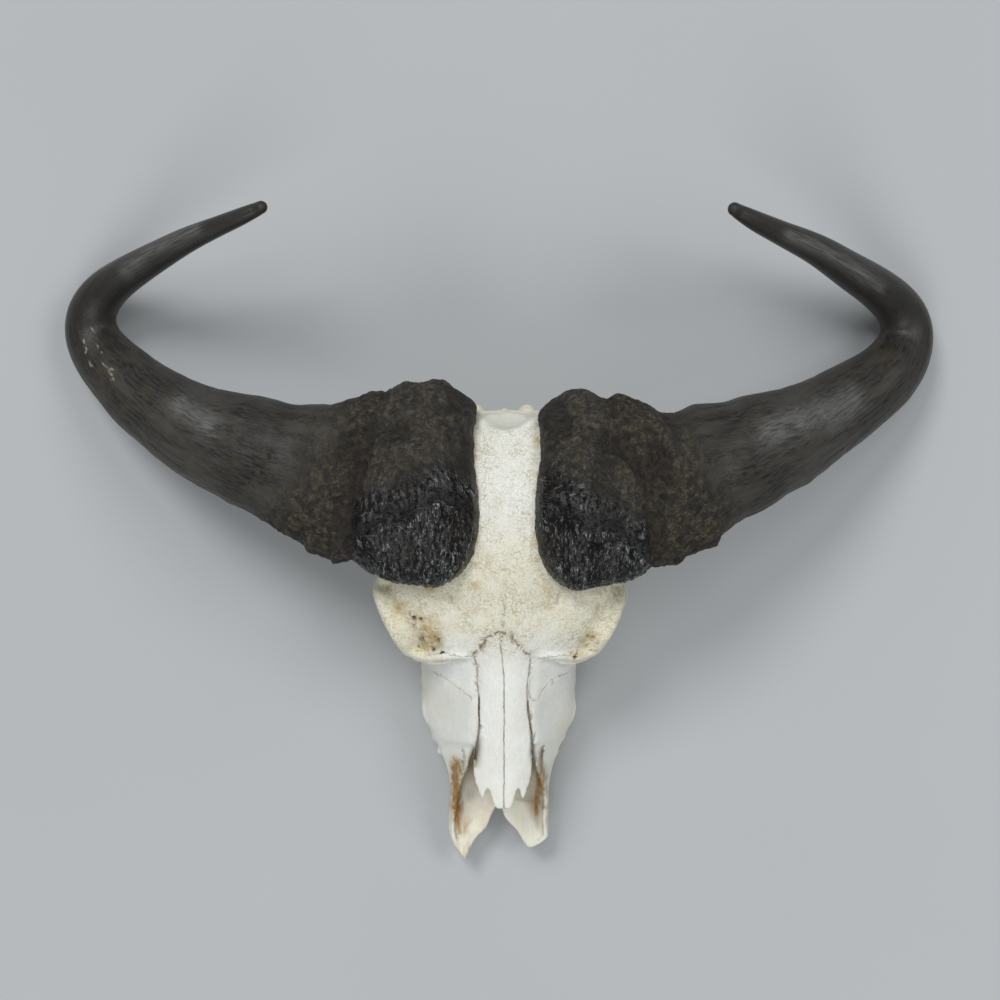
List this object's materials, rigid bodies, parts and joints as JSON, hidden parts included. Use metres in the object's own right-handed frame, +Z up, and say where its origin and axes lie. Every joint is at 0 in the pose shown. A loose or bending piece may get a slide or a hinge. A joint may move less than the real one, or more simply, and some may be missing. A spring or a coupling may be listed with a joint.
{
  "type": "cape buffalo skull",
  "caption": "Skull of a cape buffalo without its lower jaw, with both horn sheaths and their bosses. It lies on its cheek teeth and the bends of its horns.",
  "frame": {"origin": "middle of the object's outline, on the surface that it lies on", "axes": "+Z up out of the forehead, -Y towards the nose, +Y towards the poll, +X towards the right-hand horn as seen from the nose"},
  "size_m": [0.9558, 0.7041, 0.2656],
  "materials": {
    "bone": "bleached bone, matt, with porous patches and brown stains",
    "horn": "dark keratin, wrinkled and glossy on the boss, fibrous and half matt beyond",
    "tooth": "enamel stained brown"
  },
  "bodies": {
    "root": {"cranium": "bone", "horn_sheath_left": "horn", "horn_sheath_right": "horn", "tooth_left_p2": "tooth", "tooth_left_p3": "tooth", "tooth_left_p4": "tooth", "tooth_left_m1": "tooth", "tooth_left_m2": "tooth", "tooth_left_m3": "tooth", "tooth_right_p2": "tooth", "tooth_right_p3": "tooth", "tooth_right_p4": "tooth", "tooth_right_m1": "tooth", "tooth_right_m2": "tooth", "tooth_right_m3": "tooth"}
  },
  "joints": []
}
